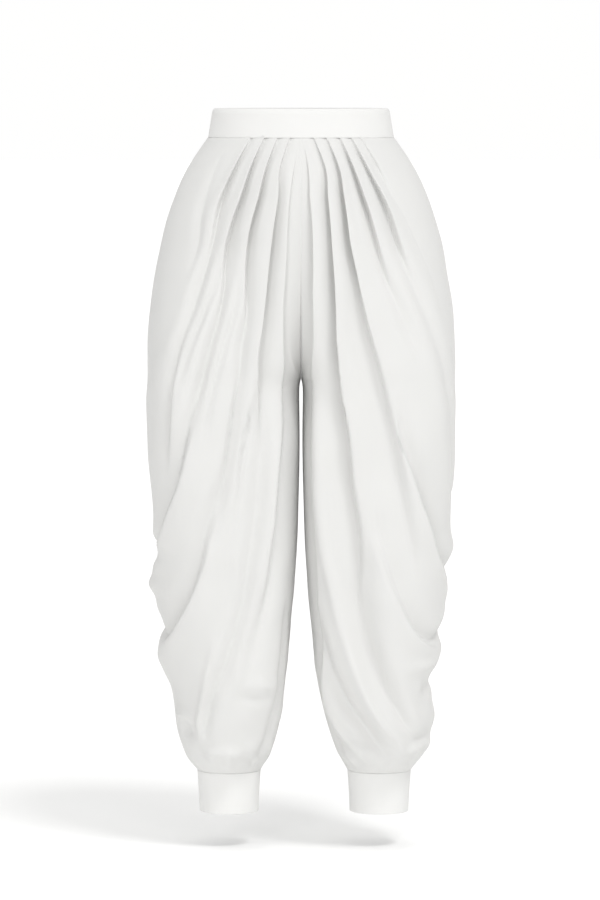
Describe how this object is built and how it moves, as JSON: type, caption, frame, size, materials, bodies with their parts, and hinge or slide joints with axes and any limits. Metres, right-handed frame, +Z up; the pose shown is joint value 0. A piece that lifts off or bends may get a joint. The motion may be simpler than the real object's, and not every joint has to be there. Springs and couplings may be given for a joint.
{
  "type": "dhoti pants",
  "caption": "Full draped trousers with a contoured waistband, knife pleats at the front, cowl folds down each side and narrow tube cuffs, hollow as worn.",
  "frame": {"origin": "centre of the waist opening, half way up the waistband", "axes": "+Z up the wearer, -Y to the wearer's front, +X to the wearer's left"},
  "size_m": [0.4274, 0.2862, 0.976],
  "materials": {
    "leg_cloth": "matt white crepe, softly draped",
    "band_cloth": "matt white crepe, two layers with stiffening"
  },
  "bodies": {
    "root": {"waistband_front": "band_cloth", "waistband_back": "band_cloth", "leg_left": "leg_cloth", "leg_right": "leg_cloth", "cuff_left": "band_cloth", "cuff_right": "band_cloth"}
  },
  "joints": []
}
